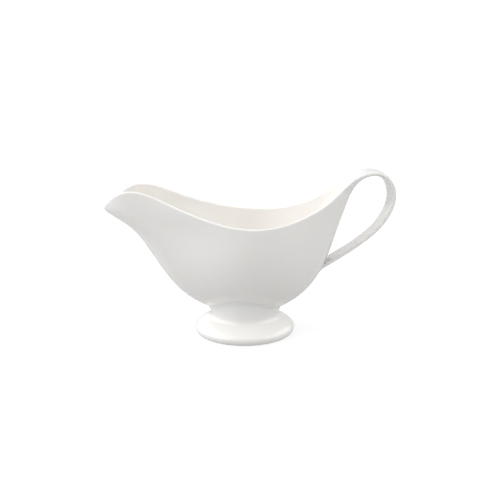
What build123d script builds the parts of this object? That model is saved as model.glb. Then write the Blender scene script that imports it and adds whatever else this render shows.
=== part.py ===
from build123d import *
import os
from math import cos, pi, sin, sqrt

# Footed gravy boat in bone china. Millimetres, +Z up, spout towards -X, handle towards +X.
# The shapes are drawn round the axis of the foot and moved to the middle of the length at the end.

# Overall placing
LENGTH_MIDDLE = 3.03          # from the foot axis to the middle of the overall length

# Bowl
WALL = 2.4                    # thickness of the cast wall, and how far the inside floor is lifted
BELLY_X = 4.0                 # where the bowl is widest
SPOUT_SHARE = 0.53            # half-width of the spout as a share of the belly half-width
SPOUT_WAIST = 0.78            # how far along the front half the sides have drawn in to the spout
SPOUT_ROUND = 0.78            # where the round end of the spout begins, along the front half
SPOUT_BLUNTNESS = 1.7         # 2 is a plain round end; less is more pointed
TAIL_SHARE = 0.40             # half-width at the back as a share of the belly half-width
TAIL_WAIST = 1.15             # the sides are still drawing in where the back closes
TAIL_ROUND = 0.72             # where the round end of the back begins, along the back half
TAIL_BLUNTNESS = 3.0          # more than 2 is squarer than a plain round end

# Bowl levels: height, front end, back end, half-width, how far the outline has turned
# from a plain oval (0) into the spouted outline (1)
BOWL_LEVELS = [
    (15.6, -8.0, 8.4, 4.7, 0.0),
    (17.0, -16.2, 17.0, 9.9, 0.0),
    (20.0, -27.0, 28.0, 16.2, 0.0),
    (25.0, -37.8, 36.6, 23.1, 0.0),
    (32.0, -47.4, 45.6, 30.3, 0.05),
    (43.0, -57.4, 54.4, 38.0, 0.2),
    (55.0, -65.6, 60.6, 43.4, 0.4),
    (68.0, -73.9, 65.0, 46.6, 0.65),
    (79.0, -82.2, 68.2, 47.9, 0.85),
    (87.0, -91.8, 70.8, 48.3, 0.95),
    (92.0, -101.8, 72.6, 48.4, 1.0),
    (98.0, -106.2, 74.7, 48.5, 1.0),
    (110.0, -107.2, 78.6, 48.7, 1.0),
    (128.0, -108.0, 82.0, 49.0, 1.0),
]

# Rim seen from the side, from the spout tip to the root of the handle
RIM_LINE = [
    (-106.6, 92.6), (-102.6, 97.4), (-97.4, 103.4), (-90.0, 108.8), (-80.0, 111.1),
    (-67.0, 108.3), (-45.0, 99.2), (-17.0, 90.4), (9.0, 87.6), (33.0, 90.6),
    (56.0, 99.7),
]
RIM_END_X = 69.5              # where the rim meets the flat cut for the handle

# Foot
FOOT_BOTTOM_RADIUS = 36.0     # outer edge of the ring that stands on the table
FOOT_BEAD_RADIUS = 38.0       # widest point, on the rounded bead
FOOT_BEAD_HEIGHT = 4.2
FOOT_SHOULDER_RADIUS = 34.6   # top of the bead
FOOT_SHOULDER_HEIGHT = 8.6
FOOT_NECK_RADIUS = 26.3       # narrowest point of the neck
FOOT_NECK_HEIGHT = 13.6
FOOT_COLLAR_RADIUS = 27.2     # straight collar above the neck, cut to fit the bottom of the bowl
FOOT_COLLAR_HEIGHT = 17.5
FOOT_TOP_HEIGHT = 34.0        # top of the collar before it is cut
FOOT_RING_INSIDE = 31.6       # inner edge of the ring that stands on the table
FOOT_NECK_INSIDE = 21.8
FOOT_COLLAR_INSIDE = 23.4

# Slip (liquid clay) that sticks the three castings together
SLIP = 0.5

# Handle: a strap drawn through these side-view points of its middle line
HANDLE_LINE = [
    (76.1, 106.5), (80.0, 113.6), (85.4, 118.9), (92.3, 121.5), (99.9, 120.6), (106.3, 115.0),
    (109.1, 105.0), (107.0, 94.5), (99.4, 81.9), (86.4, 70.2), (74.3, 61.8), (52.5, 48.2),
]
HANDLE_START = (0.465, 0.885)  # side-view direction in which the strap leaves the bowl
STRAP_STATIONS = 40
# Strap sections: share of the length, half-width, lift of the two edges, thickness in the
# middle, thickness at the edges
HANDLE_SECTIONS = [
    (0.0, 21.6, 6.6, 3.2, 2.3),
    (0.055, 19.9, 4.4, 3.5, 2.4),
    (0.115, 17.9, 2.4, 3.9, 2.5),
    (0.18, 15.9, 0.9, 4.2, 2.6),
    (0.25, 14.4, 0.2, 4.2, 2.6),
    (0.38, 12.4, -0.2, 3.9, 2.5),
    (0.5, 10.6, -0.3, 3.6, 2.4),
    (0.65, 9.2, -0.3, 3.5, 2.4),
    (0.8, 8.8, -0.3, 3.5, 2.4),
    (1.0, 9.4, -0.3, 3.7, 2.5),
]


def oval_share(along):
    """Half-width of a plain oval, as a share of the belly, at a share of the way to its end."""
    return sqrt(max(0.0, 1.0 - along * along))


def spouted_share(along, narrow, waist, round_start, bluntness):
    """Half-width of an outline that draws in to a narrow neck and ends in a round."""
    drawn_in = min(along / waist, 1.0)
    share = narrow + (1.0 - narrow) * cos(0.5 * pi * drawn_in) ** 2
    if along <= round_start:
        return share
    into_round = (along - round_start) / (1.0 - round_start)
    return share * max(0.0, 1.0 - into_round ** bluntness) ** (1.0 / bluntness)


def half_outline(height, front, back, half_width, spouted):
    """Points of one level of the bowl, from the front end round one side to the back end."""
    steps = 8
    points = []
    for step in range(-steps, steps + 1):
        turn = 0.5 * pi * step / steps
        along = abs(sin(turn))
        if step < 0:
            spout = spouted_share(along, SPOUT_SHARE, SPOUT_WAIST, SPOUT_ROUND, SPOUT_BLUNTNESS)
            x = BELLY_X + along * (front - BELLY_X)
        else:
            spout = spouted_share(along, TAIL_SHARE, TAIL_WAIST, TAIL_ROUND, TAIL_BLUNTNESS)
            x = BELLY_X + along * (back - BELLY_X)
        share = (1.0 - spouted) * oval_share(along) + spouted * spout
        if abs(step) == steps:
            share = 0.0
        points.append(Vector(x, half_width * share, height))
    return points


def level_edges(faces, height):
    """The edges of some faces that lie flat at one height."""
    found = []
    for face in faces:
        for edge in face.edges():
            box = edge.bounding_box()
            if abs(box.min.Z - height) < 0.01 and abs(box.max.Z - height) < 0.01:
                found.append(edge)
    return found


def bowl_block(grow, lift):
    """The filled shape of the bowl, grown sideways and lifted; negative grow gives the inside."""
    rows = []
    for height, front, back, half_width, spouted in BOWL_LEVELS:
        ends = (front - grow, back + grow)
        rows.append(half_outline(height + lift, *ends, half_width + grow, spouted))
    near = Face.make_surface_from_array_of_points(rows, tol=0.02, min_deg=3, max_deg=3)
    far = near.mirror(Plane.XZ)
    floor = Face(Wire(level_edges([near, far], BOWL_LEVELS[0][0] + lift)))
    lid = Face(Wire(level_edges([near, far], BOWL_LEVELS[-1][0] + lift)))
    return Solid(Shell([near, far, floor, lid]))


def joint_height(x):
    """Height of the flat cut between the bowl and the handle at a distance along the bowl."""
    root_x, root_z = HANDLE_LINE[0]
    return root_z - (x - root_x) * HANDLE_START[0] / HANDLE_START[1]


def above_rim():
    """Everything above the swooping rim and beyond the flat cut where the handle is stuck on."""
    top = 150.0
    far_left = -130.0
    far_right = 110.0
    rim_end = (RIM_END_X, joint_height(RIM_END_X))
    with BuildPart() as cutter:
        with BuildSketch(Plane.XZ):
            with BuildLine():
                rim = Spline(*RIM_LINE, rim_end)
                Polyline(
                    rim @ 1,
                    (far_right, joint_height(far_right)),
                    (far_right, top),
                    (far_left, top),
                    (far_left, RIM_LINE[0][1]),
                    rim @ 0,
                )
            make_face()
        extrude(amount=80.0, both=True)
    return cutter.part


def bowl():
    """Slip-cast bowl with its spout, open at the top, with a rounded bottom like a hull."""
    shell = bowl_block(0.0, 0.0) - bowl_block(-WALL, WALL)
    return (shell - above_rim()).solids().sort_by(SortBy.VOLUME)[-1]


def pedestal_foot():
    """Cast foot: bead at the ground, narrow neck, open underneath, cut to fit the bowl."""
    with BuildPart() as foot:
        with BuildSketch(Plane.YZ):
            with BuildLine():
                bead = ThreePointArc(
                    (FOOT_BOTTOM_RADIUS, 0.0),
                    (FOOT_BEAD_RADIUS, FOOT_BEAD_HEIGHT),
                    (FOOT_SHOULDER_RADIUS, FOOT_SHOULDER_HEIGHT),
                )
                neck = Spline(
                    bead @ 1,
                    (FOOT_NECK_RADIUS, FOOT_NECK_HEIGHT),
                    (FOOT_COLLAR_RADIUS, FOOT_COLLAR_HEIGHT),
                    tangents=((-1.0, 0.28), (0.0, 1.0)),
                )
                collar = Polyline(
                    neck @ 1,
                    (FOOT_COLLAR_RADIUS, FOOT_TOP_HEIGHT),
                    (FOOT_COLLAR_INSIDE, FOOT_TOP_HEIGHT),
                    (FOOT_COLLAR_INSIDE, FOOT_COLLAR_HEIGHT),
                )
                inside = Spline(
                    collar @ 1,
                    (FOOT_NECK_INSIDE, FOOT_NECK_HEIGHT),
                    (FOOT_RING_INSIDE, 0.0),
                    tangents=((0.0, -1.0), (0.6, -1.0)),
                )
                Line(inside @ 1, bead @ 0)
            make_face()
        revolve(axis=Axis.Z)
    return (foot.part - bowl_block(SLIP, -SLIP)).solids().sort_by(SortBy.VOLUME)[-1]


def foot_luting_slip():
    """Thin ring of slip between the foot and the bowl."""
    height = FOOT_TOP_HEIGHT - FOOT_NECK_HEIGHT
    tube = Cylinder(FOOT_COLLAR_RADIUS, height) - Cylinder(FOOT_COLLAR_INSIDE, height)
    ring = Pos(0.0, 0.0, FOOT_NECK_HEIGHT + 0.5 * height) * tube
    film = (ring & bowl_block(SLIP, -SLIP)) - bowl_block(0.0, 0.0)
    return film.solids().sort_by(Axis.Z)[0]


def strap_sizes(share):
    """Half-width, edge lift and the two thicknesses of the strap at a share of its length."""
    for before, after in zip(HANDLE_SECTIONS, HANDLE_SECTIONS[1:]):
        if share <= after[0]:
            part = (share - before[0]) / (after[0] - before[0])
            return [low + part * (high - low) for low, high in zip(before[1:], after[1:])]
    return list(HANDLE_SECTIONS[-1][1:])


def strap_section(line, share):
    """One section of the strap, drawn square to its middle line, with rounded edges."""
    half_width, edge_lift, middle_thickness, edge_thickness = strap_sizes(share)
    plane = Plane(origin=line @ share, x_dir=(0.0, 1.0, 0.0), z_dir=line % share)
    upper = edge_lift + 0.5 * edge_thickness
    lower = edge_lift - 0.5 * edge_thickness
    end = half_width + 0.45 * edge_thickness
    corners = [(-half_width, upper), (half_width, upper), (half_width, lower), (-half_width, lower)]
    middles = [
        (0.0, 0.5 * middle_thickness),
        (end, edge_lift),
        (0.0, -0.5 * middle_thickness),
        (-end, edge_lift),
    ]
    arcs = []
    for number in range(4):
        arcs.append(
            Edge.make_three_point_arc(
                plane.from_local_coords(corners[number]),
                plane.from_local_coords(middles[number]),
                plane.from_local_coords(corners[(number + 1) % 4]),
            )
        )
    return Wire(arcs)


def handle_line():
    """Middle line of the strap in the side-view plane."""
    start = Vector(HANDLE_START[0], 0.0, HANDLE_START[1])
    end = Vector(-0.85, 0.0, -0.53)
    points = [Vector(x, 0.0, z) for x, z in HANDLE_LINE]
    return Edge.make_spline(points, tangents=[start, end])


def strap_block():
    """The strap before it is trimmed to the bowl."""
    line = handle_line()
    shares = [number / STRAP_STATIONS for number in range(STRAP_STATIONS + 1)]
    sections = [strap_section(line, share) for share in shares]
    return Solid.make_loft(sections, ruled=True)


def root_slab(start, thickness):
    """A big flat slab square to the root of the strap, from a distance along it."""
    root_x, root_z = HANDLE_LINE[0]
    plane = Plane(
        origin=(root_x, 0.0, root_z),
        x_dir=(0.0, 1.0, 0.0),
        z_dir=(HANDLE_START[0], 0.0, HANDLE_START[1]),
    )
    return plane * Pos(0.0, 0.0, start + 0.5 * thickness) * Box(70.0, 50.0, thickness)


def lower_bowl_block(grow):
    """The filled lower bowl, grown a little, that the tail of the strap is trimmed against."""
    below = Pos(0.0, 0.0, 40.0) * Box(300.0, 200.0, 80.0)
    return bowl_block(grow, 0.0) & below


def strap_handle():
    """Cast strap from the back rim, over the loop and down to the back of the bowl."""
    trimmed = strap_block() - root_slab(-10.0, 10.0 + SLIP) - lower_bowl_block(SLIP)
    return trimmed.solids().sort_by(SortBy.VOLUME)[-1]


def handle_top_luting_slip():
    """Slip between the cut rim of the bowl and the root of the strap."""
    return strap_block() & root_slab(0.0, SLIP)


def handle_tail_luting_slip():
    """Slip between the tail of the strap and the back of the bowl."""
    pad = (strap_block() & lower_bowl_block(SLIP)) - lower_bowl_block(0.0)
    return pad.solids().sort_by(Axis.X)[-1]


PIECES = {
    "bowl": bowl,
    "pedestal_foot": pedestal_foot,
    "strap_handle": strap_handle,
    "foot_luting_slip": foot_luting_slip,
    "handle_top_luting_slip": handle_top_luting_slip,
    "handle_tail_luting_slip": handle_tail_luting_slip,
}

os.makedirs("parts", exist_ok=True)
for name, make in PIECES.items():
    piece = Pos(-LENGTH_MIDDLE, 0.0, 0.0) * make()
    export_step(piece, f"parts/{name}.step")
    box = piece.bounding_box()
    print(name, round(piece.volume, 1), len(piece.solids()), piece.is_valid, box.min, box.max)
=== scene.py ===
from math import atan2, cos, pi, radians, sin, sqrt

import bmesh
import bpy
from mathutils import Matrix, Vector
from mathutils.bvhtree import BVHTree


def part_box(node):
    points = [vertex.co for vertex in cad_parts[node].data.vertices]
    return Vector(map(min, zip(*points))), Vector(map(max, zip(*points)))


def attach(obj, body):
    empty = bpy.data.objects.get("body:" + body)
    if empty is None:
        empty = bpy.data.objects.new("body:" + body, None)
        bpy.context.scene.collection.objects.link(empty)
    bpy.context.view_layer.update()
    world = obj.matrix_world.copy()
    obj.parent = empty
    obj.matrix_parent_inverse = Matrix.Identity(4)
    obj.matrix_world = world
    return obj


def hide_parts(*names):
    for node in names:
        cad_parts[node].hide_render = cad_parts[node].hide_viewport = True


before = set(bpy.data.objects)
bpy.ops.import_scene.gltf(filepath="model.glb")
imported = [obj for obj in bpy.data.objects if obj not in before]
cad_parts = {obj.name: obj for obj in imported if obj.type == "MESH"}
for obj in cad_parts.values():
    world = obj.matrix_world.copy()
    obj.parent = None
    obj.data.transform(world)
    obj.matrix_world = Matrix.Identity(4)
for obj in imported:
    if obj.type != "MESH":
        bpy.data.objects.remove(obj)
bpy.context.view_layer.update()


# ---------------------------------------------------------------------------
# Bowl: slip-cast bone china with a long open spout and a rounded bottom like a
# hull, dipped in a clear glaze. Its wall is drawn up here from the bottom to the
# swooping rim; the back of the rim is left open for the strap to run on from.
# ---------------------------------------------------------------------------

mm = 0.001
foot_low, foot_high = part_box("pedestal_foot")
foot_axis_x = 0.5 * (foot_low[0] + foot_high[0])

china_white = (0.800, 0.794, 0.780, 1.0)
cream_glaze_and_bounce_light = (0.860, 0.838, 0.806, 1.0)


def glaze_material(name, pooled_low, pooled_high, pooled=0.4):
    """Clear glaze over white china. It is creamier where it has pooled low down; inside the bowl it is
    painted creamier and lighter, a painted warm bounce light.
    """
    material = bpy.data.materials.new(name)
    material.use_nodes = True
    nodes = material.node_tree.nodes
    links = material.node_tree.links
    shader = nodes["Principled BSDF"]
    shader.inputs["IOR"].default_value = 1.52
    shader.inputs["Coat Weight"].default_value = 0.35
    shader.inputs["Coat Roughness"].default_value = 0.04
    shader.inputs["Subsurface Weight"].default_value = 0.12
    shader.inputs["Subsurface Radius"].default_value = (0.0024, 0.0018, 0.0012)
    shader.inputs["Subsurface Scale"].default_value = 1.0

    place = nodes.new("ShaderNodeTexCoord")
    split = nodes.new("ShaderNodeSeparateXYZ")
    links.new(place.outputs["Object"], split.inputs["Vector"])

    # Broad, faint clouding where the glaze is thicker or thinner
    cloud_low, cloud_high = 0.3, 0.7
    clouds = nodes.new("ShaderNodeTexNoise")
    clouds.inputs["Scale"].default_value = 26.0
    clouds.inputs["Detail"].default_value = 3.0
    links.new(place.outputs["Object"], clouds.inputs["Vector"])
    cloud_range = nodes.new("ShaderNodeMapRange")
    cloud_range.inputs["From Min"].default_value = cloud_low
    cloud_range.inputs["From Max"].default_value = cloud_high
    cloud_range.inputs["To Min"].default_value = 0.0
    cloud_range.inputs["To Max"].default_value = 0.22
    links.new(clouds.outputs["Fac"], cloud_range.inputs["Value"])

    # Glaze runs down and pools in the low hollow between the two heights
    pool = nodes.new("ShaderNodeMapRange")
    pool.interpolation_type = "SMOOTHSTEP"
    pool.inputs["From Min"].default_value = pooled_high
    pool.inputs["From Max"].default_value = pooled_low
    pool.inputs["To Min"].default_value = 0.0
    pool.inputs["To Max"].default_value = pooled
    links.new(split.outputs["Z"], pool.inputs["Value"])
    creamier = nodes.new("ShaderNodeMath")
    creamier.operation = "ADD"
    links.new(pool.outputs["Result"], creamier.inputs[0])
    links.new(cloud_range.outputs["Result"], creamier.inputs[1])

    # Painted bounce light: the inner skin is painted creamier and lighter, standing in for warm light
    # bouncing about inside the bowl
    painted_bounce_cream = 0.8
    bounce_light_mask = nodes.new("ShaderNodeAttribute")
    bounce_light_mask.attribute_name = "inside"
    creamier_and_bounce_light = nodes.new("ShaderNodeMath")
    creamier_and_bounce_light.operation = "MULTIPLY_ADD"
    creamier_and_bounce_light.use_clamp = True
    creamier_and_bounce_light.inputs[1].default_value = painted_bounce_cream
    links.new(bounce_light_mask.outputs["Fac"], creamier_and_bounce_light.inputs[0])
    links.new(creamier.outputs["Value"], creamier_and_bounce_light.inputs[2])
    body = nodes.new("ShaderNodeMix")
    body.data_type = "RGBA"
    body.inputs["A"].default_value = china_white
    body.inputs["B"].default_value = cream_glaze_and_bounce_light
    links.new(creamier_and_bounce_light.outputs["Value"], body.inputs["Factor"])
    links.new(body.outputs["Result"], shader.inputs["Base Color"])

    # Fine ripple of a fired glaze, and a few pin holes
    ripple = nodes.new("ShaderNodeTexNoise")
    ripple.inputs["Scale"].default_value = 210.0
    ripple.inputs["Detail"].default_value = 2.0
    links.new(place.outputs["Object"], ripple.inputs["Vector"])
    pins = nodes.new("ShaderNodeTexVoronoi")
    pins.inputs["Scale"].default_value = 95.0
    links.new(place.outputs["Object"], pins.inputs["Vector"])
    pin_depth = nodes.new("ShaderNodeMapRange")
    pin_depth.inputs["From Min"].default_value = 0.0
    pin_depth.inputs["From Max"].default_value = 0.035
    pin_depth.inputs["To Min"].default_value = 0.0
    pin_depth.inputs["To Max"].default_value = 1.0
    links.new(pins.outputs["Distance"], pin_depth.inputs["Value"])
    relief = nodes.new("ShaderNodeMath")
    relief.operation = "MULTIPLY"
    links.new(ripple.outputs["Fac"], relief.inputs[0])
    links.new(pin_depth.outputs["Result"], relief.inputs[1])
    bump = nodes.new("ShaderNodeBump")
    bump.inputs["Strength"].default_value = 0.05
    bump.inputs["Distance"].default_value = 0.0002
    links.new(relief.outputs["Value"], bump.inputs["Height"])
    links.new(bump.outputs["Normal"], shader.inputs["Normal"])

    # Gloss varies a little with the clouding
    gloss = nodes.new("ShaderNodeMapRange")
    gloss.inputs["From Min"].default_value = cloud_low
    gloss.inputs["From Max"].default_value = cloud_high
    gloss.inputs["To Min"].default_value = 0.06
    gloss.inputs["To Max"].default_value = 0.12
    links.new(clouds.outputs["Fac"], gloss.inputs["Value"])
    links.new(gloss.outputs["Result"], shader.inputs["Roughness"])
    return material


def between(table, at):
    """Values of a table of (place, value, value...) at a place, on a smooth curve through its rows."""
    last = len(table) - 1
    index = 0
    while index < last - 1 and at > table[index + 1][0]:
        index += 1
    start, end = table[index], table[index + 1]
    step = end[0] - start[0]
    part = min(max((at - start[0]) / step, 0.0), 1.0)
    before, after = table[max(index - 1, 0)], table[min(index + 2, last)]
    values = []
    for column in range(1, len(start)):
        slope_in = (end[column] - before[column]) / (end[0] - before[0]) * step
        slope_out = (after[column] - start[column]) / (after[0] - start[0]) * step
        ease = part * part * (3.0 - 2.0 * part)
        values.append(
            start[column] * (1.0 - ease)
            + end[column] * ease
            + slope_in * part * (1.0 - part) ** 2
            - slope_out * part * part * (1.0 - part)
        )
    return values


# Level outlines of the bowl: height, front end, back end, half-width, and how far the
# outline has turned from an oval (0) to the spouted shape (1). Lengths from the foot axis.
bowl_levels = [
    (15.6 * mm, -8.0 * mm, 8.4 * mm, 4.7 * mm, 0.0),
    (17.0 * mm, -16.2 * mm, 17.0 * mm, 9.9 * mm, 0.0),
    (20.0 * mm, -27.0 * mm, 28.0 * mm, 16.2 * mm, 0.0),
    (25.0 * mm, -37.8 * mm, 36.6 * mm, 23.1 * mm, 0.0),
    (32.0 * mm, -47.4 * mm, 45.6 * mm, 30.3 * mm, 0.05),
    (43.0 * mm, -57.4 * mm, 54.4 * mm, 38.0 * mm, 0.2),
    (55.0 * mm, -65.6 * mm, 60.6 * mm, 43.4 * mm, 0.4),
    (68.0 * mm, -73.9 * mm, 65.0 * mm, 46.6 * mm, 0.65),
    (79.0 * mm, -82.2 * mm, 68.2 * mm, 47.9 * mm, 0.85),
    (87.0 * mm, -91.8 * mm, 70.8 * mm, 48.3 * mm, 0.95),
    (92.0 * mm, -101.8 * mm, 72.6 * mm, 48.4 * mm, 1.0),
    (98.0 * mm, -106.2 * mm, 74.7 * mm, 48.5 * mm, 1.0),
    (110.0 * mm, -107.2 * mm, 78.6 * mm, 48.7 * mm, 1.0),
    (128.0 * mm, -108.0 * mm, 82.0 * mm, 49.0 * mm, 1.0),
]
belly_x = 4.0 * mm
spout_share, spout_waist, spout_round, spout_bluntness = 0.53, 0.78, 0.78, 1.7
tail_share, tail_waist, tail_round, tail_bluntness = 0.40, 1.15, 0.72, 3.0

# The rim from the side, as (distance from the foot axis, height)
rim_line = [
    (-106.6 * mm, 92.6 * mm),
    (-102.6 * mm, 97.4 * mm),
    (-97.4 * mm, 103.4 * mm),
    (-90.0 * mm, 108.8 * mm),
    (-80.0 * mm, 111.1 * mm),
    (-67.0 * mm, 108.3 * mm),
    (-45.0 * mm, 99.2 * mm),
    (-17.0 * mm, 90.4 * mm),
    (9.0 * mm, 87.6 * mm),
    (33.0 * mm, 90.6 * mm),
    (56.0 * mm, 99.7 * mm),
    (69.5 * mm, 110.0 * mm),
    (80.0 * mm, 118.0 * mm),
]

wall_thickness = 2.4 * mm
columns = 64                  # outlines of the bowl are walked in this many steps
step_angle = 2.0 * pi / columns
tongue_steps = 5              # steps either side of the back that run on into the strap
# Shares of the way from the bottom to the rim at which the wall has a row, close together low down
rows_up = [
    0.0, 0.010, 0.024, 0.045, 0.075, 0.115, 0.17, 0.24, 0.33,
    0.43, 0.54, 0.65, 0.75, 0.84, 0.92, 0.97, 1.0,
]

# The strap's middle line from the side, and the direction in which it leaves the rim
strap_points = [
    (76.1, 106.5), (80.0, 113.6), (85.4, 118.9), (92.3, 121.5), (99.9, 120.6), (106.3, 115.0),
    (109.1, 105.0), (107.0, 94.5), (99.4, 81.9), (86.4, 70.2), (74.3, 61.8), (59.6, 52.6),
]
strap_start = (0.465, 0.885)
# Strap sections: share of the length, half-width, lift of the edges, thickness in the middle, at the edges
strap_sections = [
    (0.0, 21.6 * mm, 6.6 * mm, 3.0 * mm, 2.4 * mm),
    (0.055, 19.9 * mm, 4.4 * mm, 3.4 * mm, 2.4 * mm),
    (0.115, 17.9 * mm, 2.4 * mm, 3.8 * mm, 2.5 * mm),
    (0.18, 15.9 * mm, 0.9 * mm, 4.1 * mm, 2.6 * mm),
    (0.25, 14.4 * mm, 0.2 * mm, 4.1 * mm, 2.6 * mm),
    (0.38, 12.4 * mm, -0.2 * mm, 3.8 * mm, 2.5 * mm),
    (0.5, 10.6 * mm, -0.3 * mm, 3.5 * mm, 2.4 * mm),
    (0.65, 9.2 * mm, -0.3 * mm, 3.4 * mm, 2.4 * mm),
    (0.8, 8.8 * mm, -0.3 * mm, 3.4 * mm, 2.4 * mm),
    (1.0, 9.4 * mm, -0.3 * mm, 3.6 * mm, 2.5 * mm),
]
slip_thickness = 0.5 * mm


def spouted_share(along, narrow, waist, round_start, bluntness):
    """Half-width of the spouted outline, as a share of the belly's, at a share of the way to its end."""
    share = narrow + (1.0 - narrow) * cos(0.5 * pi * min(along / waist, 1.0)) ** 2
    if along <= round_start:
        return share
    into_round = min((along - round_start) / (1.0 - round_start), 1.0)
    return share * (1.0 - into_round ** bluntness) ** (1.0 / bluntness)


def wall_point(turn, height):
    """A point on the bowl's outer face; turn is 0 at the belly, 90 at the back, -90 at the spout."""
    front, back, half_width, spouted = between(bowl_levels, height)
    along = abs(sin(turn))
    if sin(turn) < 0.0:
        spout = spouted_share(along, spout_share, spout_waist, spout_round, spout_bluntness)
        x = belly_x + along * (front - belly_x)
    else:
        spout = spouted_share(along, tail_share, tail_waist, tail_round, tail_bluntness)
        x = belly_x + along * (back - belly_x)
    share = (1.0 - spouted) * sqrt(max(0.0, 1.0 - along * along)) + spouted * spout
    side = 1.0 if cos(turn) >= 0.0 else -1.0
    return Vector((x, side * half_width * share, height))


def joint_height(x):
    """Height of the flat cut where the strap is stuck on."""
    return strap_points[0][1] * mm - (x - strap_points[0][0] * mm) * strap_start[0] / strap_start[1]


def rim_height(turn, in_tongue):
    """Height of the rim on one column of the wall."""
    first_guess, rounds, share_of_gap = 95.0 * mm, 30, 0.6
    height = first_guess
    for _ in range(rounds):
        x = wall_point(turn, height).x
        target = joint_height(x) if in_tongue else between(rim_line, x)[0]
        height += share_of_gap * (target - height)
    return height


# The outer wall: a ring at the base, drawn up level by level to the rim. "bounce_light_mask" says how much
# of the painted bounce-light cream the inner skin gets at a vertex: all of it in the bowl, fading out along
# the strap.
wall = bmesh.new()
turn_layer = wall.verts.layers.float.new("turn")
thickness_layer = wall.verts.layers.float.new("thickness")
row_layer = wall.verts.layers.float.new("row")
inner_bounce_light_layer = wall.verts.layers.float.new("inside")
bounce_light_layer = wall.verts.layers.float.new("bounce_light_mask")
base_ring = bmesh.ops.create_circle(wall, cap_ends=True, segments=columns, radius=20.0 * mm)["verts"]
for vert in base_ring:
    vert[turn_layer] = round(atan2(vert.co.x, vert.co.y) / step_angle) * step_angle
    vert[thickness_layer] = wall_thickness
    vert[bounce_light_layer] = 1.0
floor_face = list(wall.faces)[0]
for vert in base_ring:
    vert.co = wall_point(vert[turn_layer], bowl_levels[0][0])


def back_steps(vert):
    """How many columns a vertex is from the back of the bowl, or None if it is outside the strap."""
    steps = round((vert[turn_layer] - 0.5 * pi) / step_angle)
    return steps if abs(steps) <= tongue_steps else None


loop_edges = wall.edges[:]
rim_of = {}
for vert in base_ring:
    turn = vert[turn_layer]
    in_tongue = back_steps(vert) is not None and abs(back_steps(vert)) < tongue_steps
    rim_of[round(turn, 4)] = rim_height(turn, in_tongue)
for share in rows_up[1:]:
    grown = bmesh.ops.extrude_edge_only(wall, edges=loop_edges)["geom"]
    loop_edges = [item for item in grown if isinstance(item, bmesh.types.BMEdge)]
    base = bowl_levels[0][0]
    for vert in [item for item in grown if isinstance(item, bmesh.types.BMVert)]:
        turn = vert[turn_layer]
        vert.co = wall_point(turn, base + share * (rim_of[round(turn, 4)] - base))

# The bottom: the base face is drawn in to the middle
inset = 1.6 * mm
for _ in range(2):
    bmesh.ops.inset_region(wall, faces=[floor_face], thickness=inset, depth=0.0, use_even_offset=True)

# ---------------------------------------------------------------------------
# Strap handle: a cast strap stuck to the cut at the back of the rim with slip, and
# sponged smooth while soft, so that the wall runs on into the strap. It is grown
# here from the open back of the wall, over the loop and down to the bowl again.
# ---------------------------------------------------------------------------

strap_table = [(0.0, strap_points[0][0] * mm, strap_points[0][1] * mm)]
for x, z in strap_points[1:]:
    run = sqrt((x * mm - strap_table[-1][1]) ** 2 + (z * mm - strap_table[-1][2]) ** 2)
    strap_table.append((strap_table[-1][0] + run, x * mm, z * mm))
strap_length = strap_table[-1][0]


def strap_frame(distance):
    """Middle of the strap, the way it runs and the way its outer face looks, at a distance along it."""
    x, z = between(strap_table, distance)
    ahead = between(strap_table, min(distance + 0.5 * mm, strap_length))
    behind = between(strap_table, max(distance - 0.5 * mm, 0.0))
    along = Vector((ahead[0] - behind[0], 0.0, ahead[1] - behind[1])).normalized()
    return Vector((x, 0.0, z)), along, Vector((-along.z, 0.0, along.x))


def strap_underside(distance, fraction):
    """A point on the face of the strap that looks into the loop; fraction runs from -1 to 1 across it."""
    half_width, lift, middle_thickness, edge_thickness = between(strap_sections, distance / strap_length)
    thickness = middle_thickness + (edge_thickness - middle_thickness) * fraction ** 2
    middle, _, outward = strap_frame(distance)
    height = lift * fraction ** 2 - 0.5 * thickness
    return middle + Vector((0.0, half_width * fraction, 0.0)) + outward * height, thickness


# The tongue: the back columns run on along the strap's line
tongue_edges = [
    edge
    for edge in loop_edges
    if all(back_steps(vert) is not None for vert in edge.verts)
]
corner_half_width = max(abs(vert.co.y) for edge in tongue_edges for vert in edge.verts)
for edge in tongue_edges:
    for vert in edge.verts:
        vert[row_layer] = 0.0
joint_offsets = {}
for edge in tongue_edges:
    for vert in edge.verts:
        fraction = vert.co.y / corner_half_width
        joint_offsets[back_steps(vert)] = (fraction, vert.co - strap_underside(0.0, fraction)[0])
stations = [slip_thickness, 3.5 * mm, 8.0 * mm, 13.0 * mm]
station_gap = 5.5 * mm
while stations[-1] < strap_length - 1.2 * station_gap:
    stations.append(stations[-1] + station_gap)
stations.append(strap_length)
blend_length = 22.0 * mm
slip_faces = []
strap_faces = []
for number, distance in enumerate(stations):
    before = set(wall.faces)
    grown = bmesh.ops.extrude_edge_only(wall, edges=tongue_edges)["geom"]
    tongue_edges = [item for item in grown if isinstance(item, bmesh.types.BMEdge)]
    made = [face for face in wall.faces if face not in before]
    (slip_faces if number == 0 else strap_faces).extend(made)
    fade = max(0.0, 1.0 - distance / blend_length)
    fade = fade * fade * (3.0 - 2.0 * fade)
    for vert in [item for item in grown if isinstance(item, bmesh.types.BMVert)]:
        fraction, offset = joint_offsets[back_steps(vert)]
        spot, thickness = strap_underside(distance, fraction)
        vert.co = spot + offset * fade
        vert[thickness_layer] = wall_thickness * fade + thickness * (1.0 - fade)
        vert[row_layer] = float(number + 1)
        # The painted bounce light of the inner skin fades out along the strap
        vert[bounce_light_layer] = fade
for face in slip_faces:
    face.material_index = 1
for face in strap_faces:
    face.material_index = 2

# ---------------------------------------------------------------------------
# Wall thickness: the inner skin of the bowl and the face of the strap that looks
# up, joined round the rim by one soft edge. The bowl, the strap and the line of
# slip between them are then parted into pieces of their own.
# ---------------------------------------------------------------------------

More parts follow.
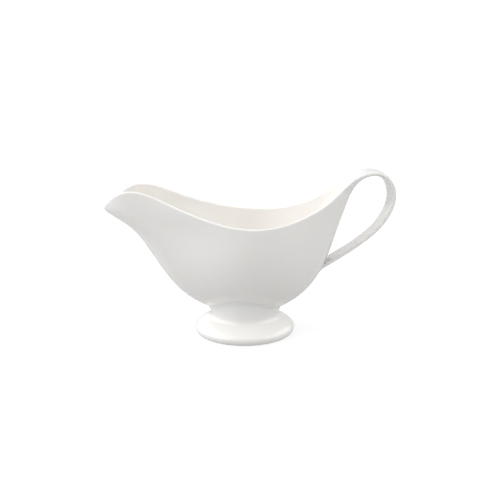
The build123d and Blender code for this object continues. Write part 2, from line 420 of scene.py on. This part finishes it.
# The thickness: an inner skin set back along the wall's normals and joined round the edge
bmesh.ops.recalc_face_normals(wall, faces=wall.faces[:])
outer_tree = BVHTree.FromBMesh(wall)
wall.normal_update()
outwardness = sum(face.normal.y * face.calc_center_median().y for face in wall.faces)
if outwardness < 0.0:
    bmesh.ops.reverse_faces(wall, faces=wall.faces[:])
wall.normal_update()
set_back = {vert: vert.co - vert.normal * vert[thickness_layer] for vert in wall.verts}
edge_loop = [edge for edge in wall.edges if edge.is_boundary]
copy = bmesh.ops.duplicate(wall, geom=wall.verts[:] + wall.edges[:] + wall.faces[:])
twin = copy["vert_map"]
# The set-back twins make the inner skin, which carries the painted bounce light: creamier and lighter
# inside the bowl
for vert, place in set_back.items():
    twin[vert].co = place
    twin[vert][inner_bounce_light_layer] = vert[bounce_light_layer]
inner_faces = [item for item in copy["geom"] if isinstance(item, bmesh.types.BMFace)]
bmesh.ops.reverse_faces(wall, faces=inner_faces)
edge_twin = copy["edge_map"]
both_loops = edge_loop + [edge_twin[edge] for edge in edge_loop]
rim_faces = bmesh.ops.bridge_loops(wall, edges=both_loops)["faces"]
for face in rim_faces:
    neighbours = []
    for edge in face.edges:
        neighbours.extend(other.material_index for other in edge.link_faces if other not in rim_faces)
    face.material_index = max(set(neighbours), key=neighbours.count) if neighbours else 0

# The tail's end is laid on the back of the bowl and let in a little
end_row = float(len(stations))
_, tail_run, _ = strap_frame(strap_length)
tail_let_in = 0.9 * mm
tail_back_off = 6.0 * mm
tail_reach = 20.0 * mm
for vert in wall.verts:
    if vert[row_layer] == end_row:
        start = vert.co - tail_run * tail_back_off
        hit = outer_tree.ray_cast(start, tail_run, tail_reach)[0]
        if hit is not None:
            vert.co = hit + tail_run * tail_let_in

for vert in wall.verts:
    vert.co.x += foot_axis_x
bmesh.ops.recalc_face_normals(wall, faces=wall.faces[:])
for face in wall.faces:
    face.smooth = True
wall_mesh = bpy.data.meshes.new("whole_wall")
wall.to_mesh(wall_mesh)
wall.free()
for _ in range(3):
    wall_mesh.materials.append(None)
whole_wall = bpy.data.objects.new("whole_wall", wall_mesh)
bpy.context.scene.collection.objects.link(whole_wall)
rounding = whole_wall.modifiers.new("rounding", "SUBSURF")
rounding.levels = 2
rounding.render_levels = 2
shaped = bpy.data.meshes.new_from_object(whole_wall.evaluated_get(bpy.context.evaluated_depsgraph_get()))
bpy.data.objects.remove(whole_wall)

bowl_glaze = glaze_material("bowl_glaze", 20.0 * mm, 70.0 * mm, pooled=0.15)
handle_glaze = glaze_material("handle_glaze", 55.0 * mm, 105.0 * mm, pooled=0.3)
parted = {
    "bowl_casting": (0, bowl_glaze, "bowl", "bowl_glaze"),
    "handle_root_slip": (1, bowl_glaze, "handle_top_luting_slip", "slip"),
    "handle_casting": (2, handle_glaze, "strap_handle", "handle_glaze"),
}
for name, (index, material, node, slot_name) in parted.items():
    piece_bm = bmesh.new()
    piece_bm.from_mesh(shaped)
    others = [face for face in piece_bm.faces if face.material_index != index]
    bmesh.ops.delete(piece_bm, geom=others, context="FACES")
    for face in piece_bm.faces:
        face.material_index = 0
        face.smooth = True
    cut = [edge for edge in piece_bm.edges if edge.is_boundary]
    if cut:
        caps = bmesh.ops.holes_fill(piece_bm, edges=cut, sides=0)["faces"]
        for face in caps:
            face.smooth = False
        for edge in cut:
            edge.smooth = False
    mesh = bpy.data.meshes.new(name)
    piece_bm.to_mesh(mesh)
    piece_bm.free()
    mesh.materials.clear()
    mesh.materials.append(material)
    piece = bpy.data.objects.new(name, mesh)
    bpy.context.scene.collection.objects.link(piece)
    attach(piece, "root")
    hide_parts(node)


# ---------------------------------------------------------------------------
# Slip round the tail of the strap: liquid clay squeezed out where the tail is
# stuck to the back of the bowl, and sponged to a small hollow fillet.
# ---------------------------------------------------------------------------

def smooth_object(bm, name, material, body="root"):
    """Makes a smooth-shaded object from a bmesh and puts it on its body."""
    bmesh.ops.recalc_face_normals(bm, faces=bm.faces[:])
    for face in bm.faces:
        face.smooth = True
    mesh = bpy.data.meshes.new(name)
    bm.to_mesh(mesh)
    bm.free()
    mesh.materials.append(material)
    piece = bpy.data.objects.new(name, mesh)
    bpy.context.scene.collection.objects.link(piece)
    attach(piece, body)
    return piece


slip_glaze = glaze_material("slip_glaze", 18.0 * mm, 60.0 * mm)
tail_middle, tail_run, tail_outward = strap_frame(strap_length)
tail_half_width, _, _, tail_thickness = between(strap_sections, 1.0)
tail_corner = 0.45            # less than 1 squares the ends of the section
fillet_back_off = 8.0 * mm
fillet_reach = 30.0 * mm


def tail_spot(turn, wider, further):
    """A point round the tail, a little wider than its section and a little further than the bowl's face."""
    across = (tail_half_width + wider) * abs(cos(turn)) ** tail_corner * (1.0 if cos(turn) > 0.0 else -1.0)
    up = (0.5 * tail_thickness + wider) * abs(sin(turn)) ** tail_corner * (1.0 if sin(turn) > 0.0 else -1.0)
    start = tail_middle - tail_run * fillet_back_off + Vector((0.0, across, 0.0)) + tail_outward * up
    hit = outer_tree.ray_cast(start, tail_run, fillet_reach)[0]
    spot = hit if hit is not None else start + tail_run * fillet_back_off
    return spot + tail_run * further


tail_steps = 48
# Fillet as (wider than the tail, further than the bowl's face), in mm
fillet_rows = [(-0.5, 0.5), (-0.12, -1.3), (0.15, -0.7), (0.5, -0.25), (1.1, 0.15)]
tail_bm = bmesh.new()
tail_layer = tail_bm.verts.layers.float.new("turn")
ring = bmesh.ops.create_circle(tail_bm, segments=tail_steps, radius=5.0 * mm)["verts"]
for vert in ring:
    vert[tail_layer] = atan2(vert.co.y, vert.co.x) + 0.01
first_edges = tail_bm.edges[:]
last_edges = first_edges
for wider, further in fillet_rows:
    if ring is None:
        grown = bmesh.ops.extrude_edge_only(tail_bm, edges=last_edges)["geom"]
        last_edges = [item for item in grown if isinstance(item, bmesh.types.BMEdge)]
        moved = [item for item in grown if isinstance(item, bmesh.types.BMVert)]
    else:
        moved = ring
        ring = None
    for vert in moved:
        vert.co = tail_spot(vert[tail_layer], wider * mm, further * mm)
bmesh.ops.bridge_loops(tail_bm, edges=first_edges + last_edges)
for vert in tail_bm.verts:
    vert.co.x += foot_axis_x
tail_slip = smooth_object(tail_bm, "handle_tail_slip", slip_glaze)
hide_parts("handle_tail_luting_slip")


# ---------------------------------------------------------------------------
# Pedestal foot: a cast china foot, round, with a narrow neck, a flared shoulder
# and a rounded bead at the ground. It is hollow underneath, its neck is cut to fit
# the rounded bottom of the bowl, and the ring it stands on is wiped bare of glaze.
# ---------------------------------------------------------------------------

foot_radius = 0.5 * (foot_high[0] - foot_low[0])
neck_top = 20.0 * mm
neck_radius = foot_radius - 10.6 * mm
# Outside of the foot as (height, radius), from the bead's edge on the table up to the neck's top
foot_outside = [
    (0.0, foot_radius - 1.9 * mm),
    (1.2 * mm, foot_radius - 0.8 * mm),
    (2.6 * mm, foot_radius - 0.15 * mm),
    (4.2 * mm, foot_radius),
    (6.0 * mm, foot_radius - 0.9 * mm),
    (8.2 * mm, foot_radius - 3.2 * mm),
    (10.2 * mm, foot_radius - 6.4 * mm),
    (12.2 * mm, foot_radius - 9.8 * mm),
    (14.0 * mm, foot_radius - 11.6 * mm),
    (16.4 * mm, foot_radius - 11.7 * mm),
    (neck_top, neck_radius),
]
# Inside of the hollow foot as (height, radius), from the table up to its top
foot_inside = [
    (0.0, 32.2 * mm),
    (1.2 * mm, 31.4 * mm),
    (4.0 * mm, 30.2 * mm),
    (9.0 * mm, 26.0 * mm),
    (14.0 * mm, 22.2 * mm),
    (neck_top, 23.2 * mm),
]
outside_steps, inside_steps = 24, 16
foot_outline = []
for number in range(outside_steps + 1):
    height = neck_top * number / outside_steps
    foot_outline.append((between(foot_outside, height)[0], height))
for number in range(inside_steps, -1, -1):
    height = neck_top * number / inside_steps
    foot_outline.append((between(foot_inside, height)[0], height))


def spun_ring(profile, steps):
    """A ring made by turning a closed outline of (radius, height) round the foot's axis."""
    bm = bmesh.new()
    corners = [bm.verts.new((foot_axis_x + radius, 0.0, height)) for radius, height in profile]
    edges = [bm.edges.new((corners[i - 1], corners[i])) for i in range(len(corners))]
    bmesh.ops.spin(
        bm,
        geom=corners + edges,
        cent=(foot_axis_x, 0.0, 0.0),
        axis=(0.0, 0.0, 1.0),
        angle=2.0 * pi,
        steps=steps,
        use_merge=True,
    )
    bmesh.ops.remove_doubles(bm, verts=bm.verts[:], dist=1e-6)
    return bm


def hull_height(place):
    """Height of the bowl's underside above a place."""
    start = Vector((place.x - foot_axis_x, place.y, 1.0 * mm))
    return outer_tree.ray_cast(start, Vector((0.0, 0.0, 1.0)), 100.0 * mm)[0].z


foot_steps = 96
foot_bm = spun_ring(foot_outline, foot_steps)
fit_from = 12.0 * mm
foot_let_in = 0.6 * mm
for vert in foot_bm.verts:
    if vert.co.z > fit_from:
        part = (vert.co.z - fit_from) / (neck_top - fit_from)
        ease = part * part * (3.0 - 2.0 * part)
        vert.co.z += (hull_height(vert.co) + foot_let_in - neck_top) * ease

foot_glaze = glaze_material("foot_glaze", 9.0 * mm, 24.0 * mm)
foot_nodes = foot_glaze.node_tree.nodes
foot_links = foot_glaze.node_tree.links
foot_shader = foot_nodes["Principled BSDF"]
glazed_colour = foot_shader.inputs["Base Color"].links[0].from_socket
glazed_gloss = foot_shader.inputs["Roughness"].links[0].from_socket

# The standing ring is wiped clean of glaze up to an uneven line, down to dull bisque
foot_place = foot_nodes.new("ShaderNodeTexCoord")
foot_split = foot_nodes.new("ShaderNodeSeparateXYZ")
foot_links.new(foot_place.outputs["Object"], foot_split.inputs["Vector"])
grain = foot_nodes.new("ShaderNodeTexNoise")
grain.inputs["Scale"].default_value = 900.0
foot_links.new(foot_place.outputs["Object"], grain.inputs["Vector"])
wiped_line = foot_nodes.new("ShaderNodeMath")
wiped_line.operation = "MULTIPLY_ADD"
wiped_line.inputs[1].default_value = 0.0003
foot_links.new(grain.outputs["Fac"], wiped_line.inputs[0])
foot_links.new(foot_split.outputs["Z"], wiped_line.inputs[2])
bare = foot_nodes.new("ShaderNodeMapRange")
bare.inputs["From Min"].default_value = 0.0004
bare.inputs["From Max"].default_value = 0.0002
foot_links.new(wiped_line.outputs["Value"], bare.inputs["Value"])
bisque = foot_nodes.new("ShaderNodeMix")
bisque.data_type = "RGBA"
bisque.inputs["A"].default_value = (0.640, 0.585, 0.500, 1.0)
bisque.inputs["B"].default_value = cream_glaze_and_bounce_light
foot_links.new(grain.outputs["Fac"], bisque.inputs["Factor"])
skin = foot_nodes.new("ShaderNodeMix")
skin.data_type = "RGBA"
foot_links.new(bare.outputs["Result"], skin.inputs["Factor"])
foot_links.new(glazed_colour, skin.inputs["A"])
foot_links.new(bisque.outputs["Result"], skin.inputs["B"])
foot_links.new(skin.outputs["Result"], foot_shader.inputs["Base Color"])
dull = foot_nodes.new("ShaderNodeMix")
dull.data_type = "FLOAT"
dull.inputs["B"].default_value = 0.8
foot_links.new(bare.outputs["Result"], dull.inputs["Factor"])
foot_links.new(glazed_gloss, dull.inputs["A"])
foot_links.new(dull.outputs["Result"], foot_shader.inputs["Roughness"])

foot = smooth_object(foot_bm, "foot_casting", foot_glaze)
foot_bevel = foot.modifiers.new("soft_edges", "BEVEL")
foot_bevel.width = 0.7 * mm
foot_bevel.segments = 3
foot_bevel.limit_method = "ANGLE"
foot_bevel.angle_limit = radians(40.0)
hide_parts("pedestal_foot")


# ---------------------------------------------------------------------------
# Slip round the top of the foot: liquid clay squeezed out of the joint between
# the neck and the bowl, and sponged to a small hollow fillet before glazing.
# ---------------------------------------------------------------------------

# Fillet as (distance out from the neck, distance up from the bowl's underside), in mm
fillet = [(-2.0, 0.6), (-2.0, -1.1), (-0.1, -1.1), (0.12, -0.55), (0.45, -0.12), (1.0, 0.15)]
slip_bm = spun_ring([(neck_radius + out * mm, up * mm) for out, up in fillet], foot_steps)
for vert in slip_bm.verts:
    vert.co.z += hull_height(vert.co)
foot_slip = smooth_object(slip_bm, "foot_slip", slip_glaze)
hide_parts("foot_luting_slip")


# ---------------------------------------------------------------------------
# Stage: pale floor, soft studio light and the camera.
# ---------------------------------------------------------------------------

# The floor looks whiter to the camera than it shines on the boat
floor_light_on_boat, floor_light_seen = 0.27, 0.66
floor_bm = bmesh.new()
bmesh.ops.create_circle(floor_bm, cap_ends=True, segments=96, radius=12.0)
floor_mesh = bpy.data.meshes.new("floor")
floor_bm.to_mesh(floor_mesh)
floor_bm.free()
floor_material = bpy.data.materials.new("pale_floor")
floor_material.use_nodes = True
floor_shader = floor_material.node_tree.nodes["Principled BSDF"]
floor_shader.inputs["Base Color"].default_value = (0.34, 0.34, 0.34, 1.0)
floor_shader.inputs["Roughness"].default_value = 0.9
floor_shader.inputs["Specular IOR Level"].default_value = 0.0
floor_shader.inputs["Emission Color"].default_value = (1.0, 1.0, 1.0, 1.0)
floor_seen = floor_material.node_tree.nodes.new("ShaderNodeLightPath")
floor_glow = floor_material.node_tree.nodes.new("ShaderNodeMix")
floor_glow.data_type = "FLOAT"
floor_glow.inputs["A"].default_value = floor_light_on_boat
floor_glow.inputs["B"].default_value = floor_light_seen
floor_material.node_tree.links.new(floor_seen.outputs["Is Camera Ray"], floor_glow.inputs["Factor"])
floor_material.node_tree.links.new(floor_glow.outputs["Result"], floor_shader.inputs["Emission Strength"])
floor_mesh.materials.append(floor_material)
studio_floor = bpy.data.objects.new("floor", floor_mesh)
bpy.context.scene.collection.objects.link(studio_floor)

# A white tent round the set: brighter to the left and above, and darker on the side that the
# viewer stands on. The camera itself sees it as one plain white.
tent_seen = 1.05
world = bpy.data.worlds.new("studio")
world.use_nodes = True
tent = world.node_tree
look = tent.nodes.new("ShaderNodeTexCoord")
ways = tent.nodes.new("ShaderNodeSeparateXYZ")
tent.links.new(look.outputs["Generated"], ways.inputs["Vector"])


def tent_side(axis, from_low, from_high, to_low, to_high):
    """A brightness that changes smoothly along one direction of the tent."""
    side = tent.nodes.new("ShaderNodeMapRange")
    side.interpolation_type = "SMOOTHSTEP"
    side.inputs["From Min"].default_value = from_low
    side.inputs["From Max"].default_value = from_high
    side.inputs["To Min"].default_value = to_low
    side.inputs["To Max"].default_value = to_high
    tent.links.new(ways.outputs[axis], side.inputs["Value"])
    return side.outputs["Result"]


def joined(operation, first, second):
    """Two brightnesses added or multiplied."""
    node = tent.nodes.new("ShaderNodeMath")
    node.operation = operation
    tent.links.new(first, node.inputs[0])
    tent.links.new(second, node.inputs[1])
    return node.outputs["Value"]


walls = joined(
    "MULTIPLY",
    tent_side("Y", -0.98, -0.30, 0.10, 0.80),
    tent_side("X", -0.65, 0.35, 1.45, 0.85),
)
overhead = joined(
    "MULTIPLY",
    joined("MULTIPLY", tent_side("Z", 0.25, 0.60, 0.0, 1.0), tent_side("Z", 0.62, 0.95, 1.0, 0.2)),
    joined("MULTIPLY", tent_side("Y", -0.5, 0.3, 1.0, 0.2), tent_side("X", -0.6, 0.4, 1.30, 0.80)),
)
# A soft box high on each side, which the flare of the foot mirrors
box_sides = joined("ADD", tent_side("X", -0.60, -0.74, 0.0, 1.7), tent_side("X", 0.60, 0.74, 0.0, 1.5))
box_heights = joined("MULTIPLY", tent_side("Z", 0.20, 0.30, 0.0, 1.0), tent_side("Z", 0.70, 0.80, 1.0, 0.0))
soft_boxes = joined("MULTIPLY", box_sides, box_heights)
brightness = joined("ADD", joined("ADD", walls, overhead), soft_boxes)
seen = tent.nodes.new("ShaderNodeLightPath")
strength = tent.nodes.new("ShaderNodeMix")
strength.data_type = "FLOAT"
strength.inputs["B"].default_value = tent_seen
tent.links.new(seen.outputs["Is Camera Ray"], strength.inputs["Factor"])
tent.links.new(brightness, strength.inputs["A"])
tent.nodes["Background"].inputs["Color"].default_value = (1.0, 1.0, 1.0, 1.0)
tent.links.new(strength.outputs["Result"], tent.nodes["Background"].inputs["Strength"])
bpy.context.scene.world = world
bpy.context.scene.view_settings.view_transform = "Standard"

lens_pitch = 12.75            # degrees below level
camera_data = bpy.data.cameras.new("camera")
camera_data.sensor_width = 36.0
camera_data.lens = 46.8
camera = bpy.data.objects.new("camera", camera_data)
camera.location = (foot_axis_x + 4.0 * mm, -478.7 * mm, 171.3 * mm)
camera.rotation_euler = (radians(90.0 - lens_pitch), 0.0, 0.0)
bpy.context.scene.collection.objects.link(camera)
bpy.context.scene.camera = camera
